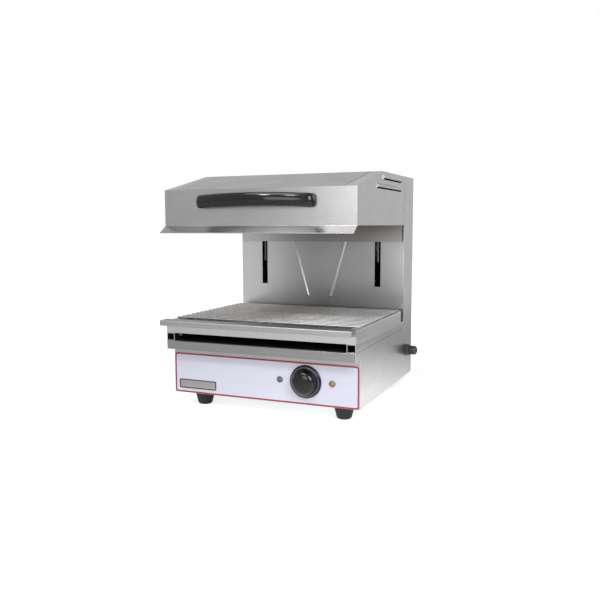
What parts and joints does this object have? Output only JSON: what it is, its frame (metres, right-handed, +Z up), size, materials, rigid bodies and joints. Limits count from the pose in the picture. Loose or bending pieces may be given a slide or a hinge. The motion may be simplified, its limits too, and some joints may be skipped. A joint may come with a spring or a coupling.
{
  "type": "salamander grill",
  "caption": "Countertop electric salamander grill: boxed base with pull-out tray and wire rack, rear column, and a heated hood that slides up and down.",
  "frame": {"origin": "middle of the bounding box at the level that the feet stand on", "axes": "+Z up, +Y from the control panel to the rear, +X to the right seen from the front"},
  "size_m": [0.483, 0.4974, 0.5355],
  "materials": {
    "brushed_stainless": "brushed",
    "control_panel": "satin",
    "plate_trim": "satin",
    "black_enamel": "satin",
    "zinc_steel": "satin",
    "bright_steel": "polished",
    "spring_steel": "satin",
    "bronze_bush": "satin",
    "element_sheath": "matte",
    "ceramic_fibre": "matte",
    "black_plastic": "satin",
    "block_plastic": "matte",
    "grey_plastic": "satin",
    "foot_rubber": "matte",
    "green_lens": "gloss",
    "orange_lens": "gloss"
  },
  "bodies": {
    "grill_body": {"side_panel_left": "brushed_stainless", "side_panel_right": "brushed_stainless", "base_front": "brushed_stainless", "base_top": "brushed_stainless", "tray_rail_left": "brushed_stainless", "tray_rail_right": "brushed_stainless", "column_front": "brushed_stainless", "column_top": "brushed_stainless", "rear_cover": "brushed_stainless", "fascia": "control_panel", "heat_shield": "black_enamel", "base_pan": "zinc_steel", "lower_cross_member": "zinc_steel", "upper_cross_member": "zinc_steel", "stop_collars": "zinc_steel", "foot_screws": "zinc_steel", "rear_cover_screws": "zinc_steel", "regulator_nut": "zinc_steel", "guide_rod_left": "bright_steel", "guide_rod_right": "bright_steel", "lift_spring_left": "spring_steel", "lift_spring_right": "spring_steel", "green_lamp_body": "black_plastic", "orange_lamp_body": "black_plastic", "energy_regulator": "black_plastic", "terminal_block": "block_plastic", "gland_body": "grey_plastic", "gland_cap": "grey_plastic", "gland_nut": "grey_plastic", "foot_front_left": "foot_rubber", "foot_front_right": "foot_rubber", "foot_rear_left": "foot_rubber", "foot_rear_right": "foot_rubber", "green_lamp_lens": "green_lens", "orange_lamp_lens": "orange_lens"},
    "hood": {"hood_cover": "brushed_stainless", "hood_side_left": "brushed_stainless", "hood_side_right": "brushed_stainless", "hood_back": "brushed_stainless", "reflector": "brushed_stainless", "insulation_mat": "ceramic_fibre", "heating_element_1": "element_sheath", "heating_element_2": "element_sheath", "heating_element_3": "element_sheath", "element_bracket_left": "zinc_steel", "element_bracket_right": "zinc_steel", "lift_arm_left": "zinc_steel", "lift_arm_right": "zinc_steel", "carriage_left": "zinc_steel", "carriage_right": "zinc_steel", "guide_bushes": "bronze_bush", "lift_yoke": "zinc_steel", "hood_screws": "zinc_steel", "hood_handle": "black_plastic"},
    "knob": {"control_knob": "black_plastic", "regulator_shaft": "bright_steel"},
    "tray": {"drip_tray": "brushed_stainless", "tray_lip": "brushed_stainless", "tray_runners": "brushed_stainless", "grill_rack": "bright_steel"}
  },
  "joints": [
    {"name": "hood_lift", "type": "slide", "parent": "grill_body", "child": "hood", "axis": [0, 0, 1], "range_m": [-0.112, 0], "deforming": ["lift_spring_left", "lift_spring_right"]},
    {"name": "knob_turn", "type": "hinge", "parent": "grill_body", "child": "knob", "pos_m": [0.0913, -0.1835, 0.0848], "axis": [0, 1, 0], "range_deg": [0, 270]},
    {"name": "tray_pull", "type": "slide", "parent": "grill_body", "child": "tray", "axis": [0, -1, 0], "range_m": [0, 0.26]}
  ]
}
